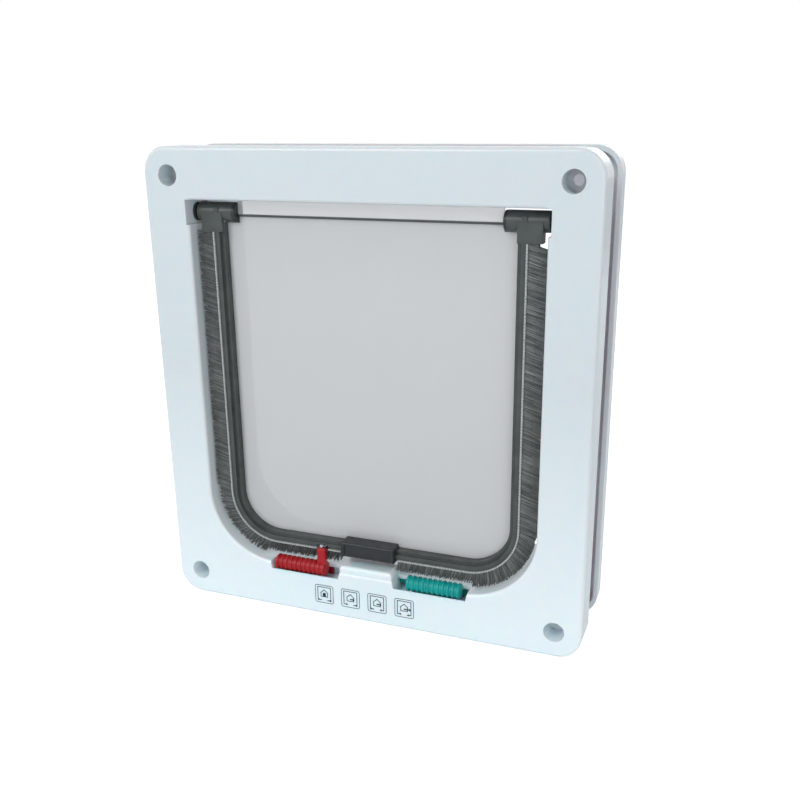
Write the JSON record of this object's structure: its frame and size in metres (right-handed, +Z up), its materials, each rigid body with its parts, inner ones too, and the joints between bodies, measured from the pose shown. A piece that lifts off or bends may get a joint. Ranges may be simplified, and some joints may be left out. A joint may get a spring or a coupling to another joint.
{
  "type": "cat flap",
  "caption": "Square white locking cat flap with a front and a rear frame, a brush-edged tinted swing panel with a magnetic catch, and coloured slide locks",
  "frame": {"origin": "middle of the width and depth, on the line where both frames stand", "axes": "+Z up, X across the width, the front with the locks faces -Y"},
  "size_m": [0.237, 0.06, 0.252],
  "materials": {
    "white_front": "moulded white plastic, soft gloss",
    "white_rear": "moulded white plastic, soft gloss",
    "white_cover": "moulded white plastic",
    "smoke_panel": "smoke-tinted clear plastic, polished",
    "dark_pin": "dark grey moulded plastic",
    "dark_bush": "black moulded plastic",
    "strip_backing": "woven light grey strip",
    "brush_pile": "dense grey bristle pile",
    "dark_holder": "dark grey moulded plastic, satin",
    "magnet": "bare ferrite",
    "red_plastic": "moulded red plastic, satin",
    "green_plastic": "moulded blue-green plastic, satin"
  },
  "bodies": {
    "frame": {"front_frame": "white_front", "rear_frame": "white_rear", "hinge_bush_left": "dark_bush", "hinge_bush_right": "dark_bush", "sill_magnet": "magnet", "sill_cover": "white_cover", "lock_cover_left": "white_cover", "lock_cover_right": "white_cover"},
    "flap": {"flap_panel": "smoke_panel", "hinge_pin_left": "dark_pin", "hinge_pin_right": "dark_pin", "brush_backing_left": "strip_backing", "brush_backing_right": "strip_backing", "brush_pile_left": "brush_pile", "brush_pile_right": "brush_pile", "magnet_holder": "dark_holder", "flap_magnet": "magnet", "magnet_cover": "dark_holder"},
    "red_slider": {"red_lock": "red_plastic"},
    "green_slider": {"green_lock": "green_plastic"}
  },
  "joints": [
    {"name": "flap_swing", "type": "hinge", "parent": "frame", "child": "flap", "pos_m": [0, -0.0183, 0.219], "axis": [1, 0, 0], "range_deg": [-80, 80]},
    {"name": "red_lock_slide", "type": "slide", "parent": "frame", "child": "red_slider", "axis": [1, 0, 0], "range_m": [0, 0.0055]},
    {"name": "green_lock_slide", "type": "slide", "parent": "frame", "child": "green_slider", "axis": [-1, 0, 0], "range_m": [0, 0.0055]}
  ]
}
